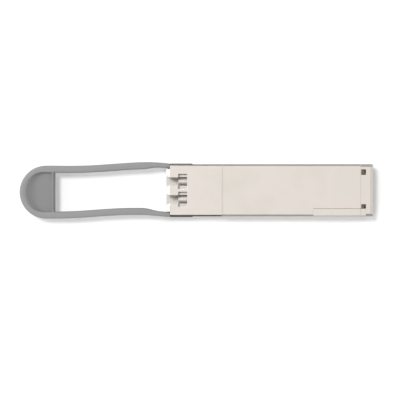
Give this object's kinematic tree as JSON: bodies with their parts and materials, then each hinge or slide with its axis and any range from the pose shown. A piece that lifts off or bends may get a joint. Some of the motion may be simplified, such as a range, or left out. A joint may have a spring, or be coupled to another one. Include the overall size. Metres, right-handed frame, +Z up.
{
  "type": "optical transceiver module",
  "caption": "Pluggable optical transceiver: plated die-cast body, duplex fibre port at the nose, sliding pull-tab latch release and a card-edge plug inside the rear end.",
  "frame": {"origin": "centre of the body's length and width, on the flat underside of the housing", "axes": "+X towards the electrical end, -X towards the optical port and the pull tab, +Z up through the heat-sink face"},
  "size_m": [0.1237, 0.0198, 0.0087],
  "materials": {
    "shell_metal": "fine satin, nickel-plated die-cast zinc",
    "slider_steel": "satin stainless sheet",
    "tab_plastic": "matt moulded grey plastic",
    "spring_steel": "drawn wire",
    "gasket": "matt conductive elastomer",
    "barrel_steel": "turned stainless steel",
    "ceramic": "polished white zirconia",
    "gold_plate": "satin gold plate",
    "lens_glass": "polished glass",
    "flex_film": "satin amber polyimide",
    "board": "green solder mask over glass epoxy",
    "chip_package": "matt epoxy moulding",
    "inductor_body": "matt pressed powder",
    "capacitor_body": "matt ceramic chip",
    "thermal_pad": "soft matt gap filler",
    "label_film": "satin film"
  },
  "bodies": {
    "housing": {"top_cover": "shell_metal", "bottom_housing": "shell_metal", "lc_receptacle": "shell_metal", "left_return_spring": "spring_steel", "right_return_spring": "spring_steel", "osa_clamp": "slider_steel", "barrel_gasket": "gasket", "tosa_barrel": "barrel_steel", "rosa_barrel": "barrel_steel", "tosa_sleeve": "ceramic", "rosa_sleeve": "ceramic", "tosa_stub": "ceramic", "rosa_stub": "ceramic", "tosa_body": "gold_plate", "rosa_body": "gold_plate", "tosa_lid": "barrel_steel", "rosa_lid": "barrel_steel", "tosa_lens": "lens_glass", "rosa_lens": "lens_glass", "laser_submount": "ceramic", "photodiode_submount": "ceramic", "tosa_flex": "flex_film", "rosa_flex": "flex_film", "circuit_board": "board", "contact_fingers": "gold_plate", "transmit_retimer": "chip_package", "receive_retimer": "chip_package", "microcontroller": "chip_package", "power_inductors": "inductor_body", "capacitors": "capacitor_body", "optics_thermal_pad": "thermal_pad", "retimer_thermal_pad": "thermal_pad", "left_emi_gasket": "gasket", "right_emi_gasket": "gasket", "cover_screws": "slider_steel", "blank_label": "label_film"},
    "slider": {"latch_slider": "slider_steel", "pull_tab": "tab_plastic"}
  },
  "joints": [
    {"name": "latch_pull", "type": "slide", "parent": "housing", "child": "slider", "axis": [-1, 0, 0], "range_m": [0, 0.003], "stiffness_N_per_m": 600, "springref_m": -0.001, "deforming": ["left_return_spring", "right_return_spring"]}
  ]
}
